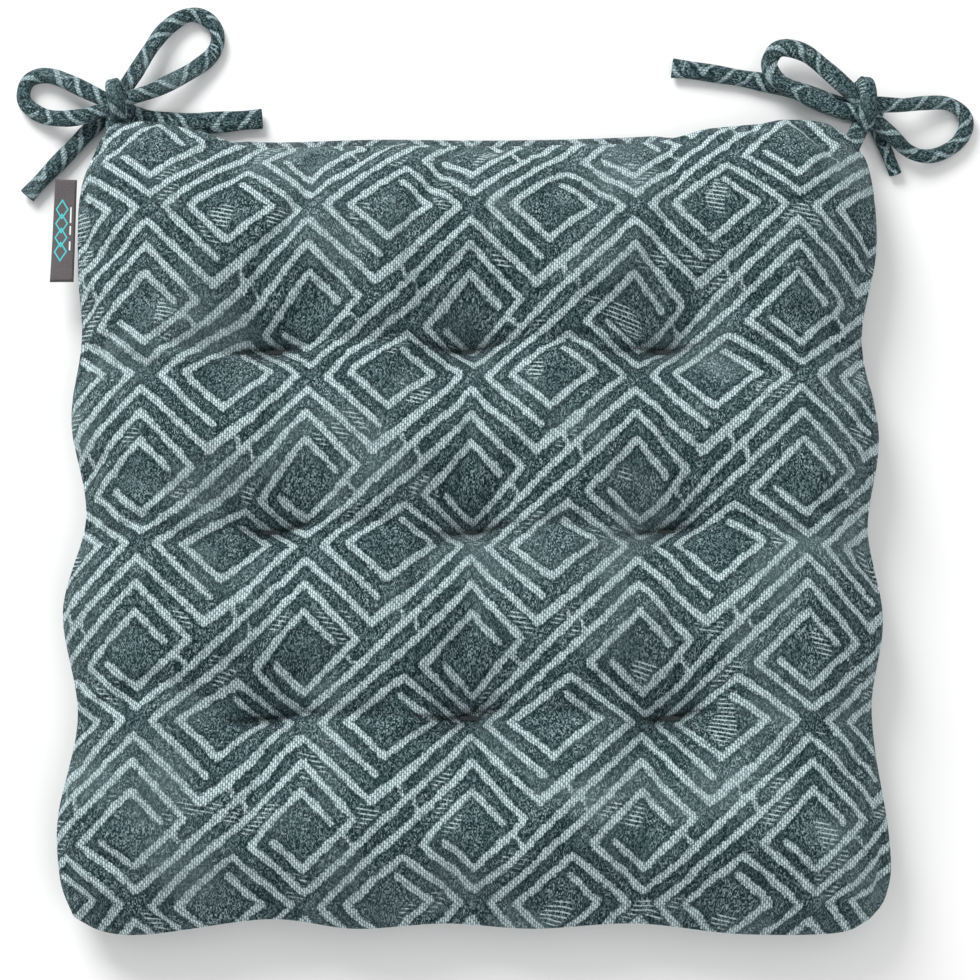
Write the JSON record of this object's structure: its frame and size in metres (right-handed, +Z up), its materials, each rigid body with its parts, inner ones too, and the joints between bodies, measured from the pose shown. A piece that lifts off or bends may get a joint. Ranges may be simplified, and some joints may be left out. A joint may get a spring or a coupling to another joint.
{
  "type": "chair seat pad",
  "caption": "Square tufted chair seat pad in figured jacquard cloth, fibre filled, with a bow tie at each back corner and a small side label",
  "frame": {"origin": "centre of the footprint of the pad with its label, on the surface that it rests on", "axes": "+Z up through the thickness; +Y towards the back edge, where the ties are; +X to the right seen from above with the ties away"},
  "size_m": [0.4904, 0.4736, 0.048],
  "materials": {
    "jacquard_top": "soft figured jacquard, light maze lines on a mottled teal grey ground",
    "jacquard_bottom": "the same jacquard",
    "fibre_filling": "loose polyester fibre",
    "sewing_thread": "dark polyester thread",
    "tie_cloth": "folded strip of the same jacquard",
    "woven_label": "dense satin woven ribbon"
  },
  "bodies": {
    "pad": {"top_cover": "jacquard_top", "bottom_cover": "jacquard_bottom", "filling": "fibre_filling", "seam_allowance": "jacquard_bottom", "seam_thread": "sewing_thread", "side_label_hem": "woven_label", "tuft_stitch_r1c1": "sewing_thread", "tuft_stitch_r1c2": "sewing_thread", "tuft_stitch_r1c3": "sewing_thread", "tuft_stitch_r2c1": "sewing_thread", "tuft_stitch_r2c2": "sewing_thread", "tuft_stitch_r2c3": "sewing_thread", "tuft_stitch_r3c1": "sewing_thread", "tuft_stitch_r3c2": "sewing_thread", "tuft_stitch_r3c3": "sewing_thread", "left_tie_root": "tie_cloth", "left_tie_tail_side": "tie_cloth", "right_tie_root": "tie_cloth", "right_tie_tail_side": "tie_cloth"},
    "left_bow": {"left_tie_neck": "tie_cloth", "left_tie_knot": "tie_cloth", "left_tie_loop_long": "tie_cloth", "left_tie_loop_short": "tie_cloth", "left_tie_tail_back": "tie_cloth"},
    "right_bow": {"right_tie_neck": "tie_cloth", "right_tie_knot": "tie_cloth", "right_tie_loop_long": "tie_cloth", "right_tie_loop_short": "tie_cloth", "right_tie_tail_back": "tie_cloth"},
    "label": {"side_label": "woven_label"}
  },
  "joints": [
    {"name": "left_bow_fold", "type": "hinge", "parent": "pad", "child": "left_bow", "pos_m": [-0.179, 0.2065, 0.008], "axis": [1, 0, 0], "range_deg": [0, 25]},
    {"name": "right_bow_fold", "type": "hinge", "parent": "pad", "child": "right_bow", "pos_m": [0.1965, 0.2065, 0.008], "axis": [0.9397, -0.342, 0], "range_deg": [0, 30]},
    {"name": "label_fold", "type": "hinge", "parent": "pad", "child": "label", "pos_m": [-0.195, 0.1465, 0.02], "axis": [0, 1, 0], "range_deg": [-60, 60], "stiffness_Nm_per_rad": 0.001}
  ]
}
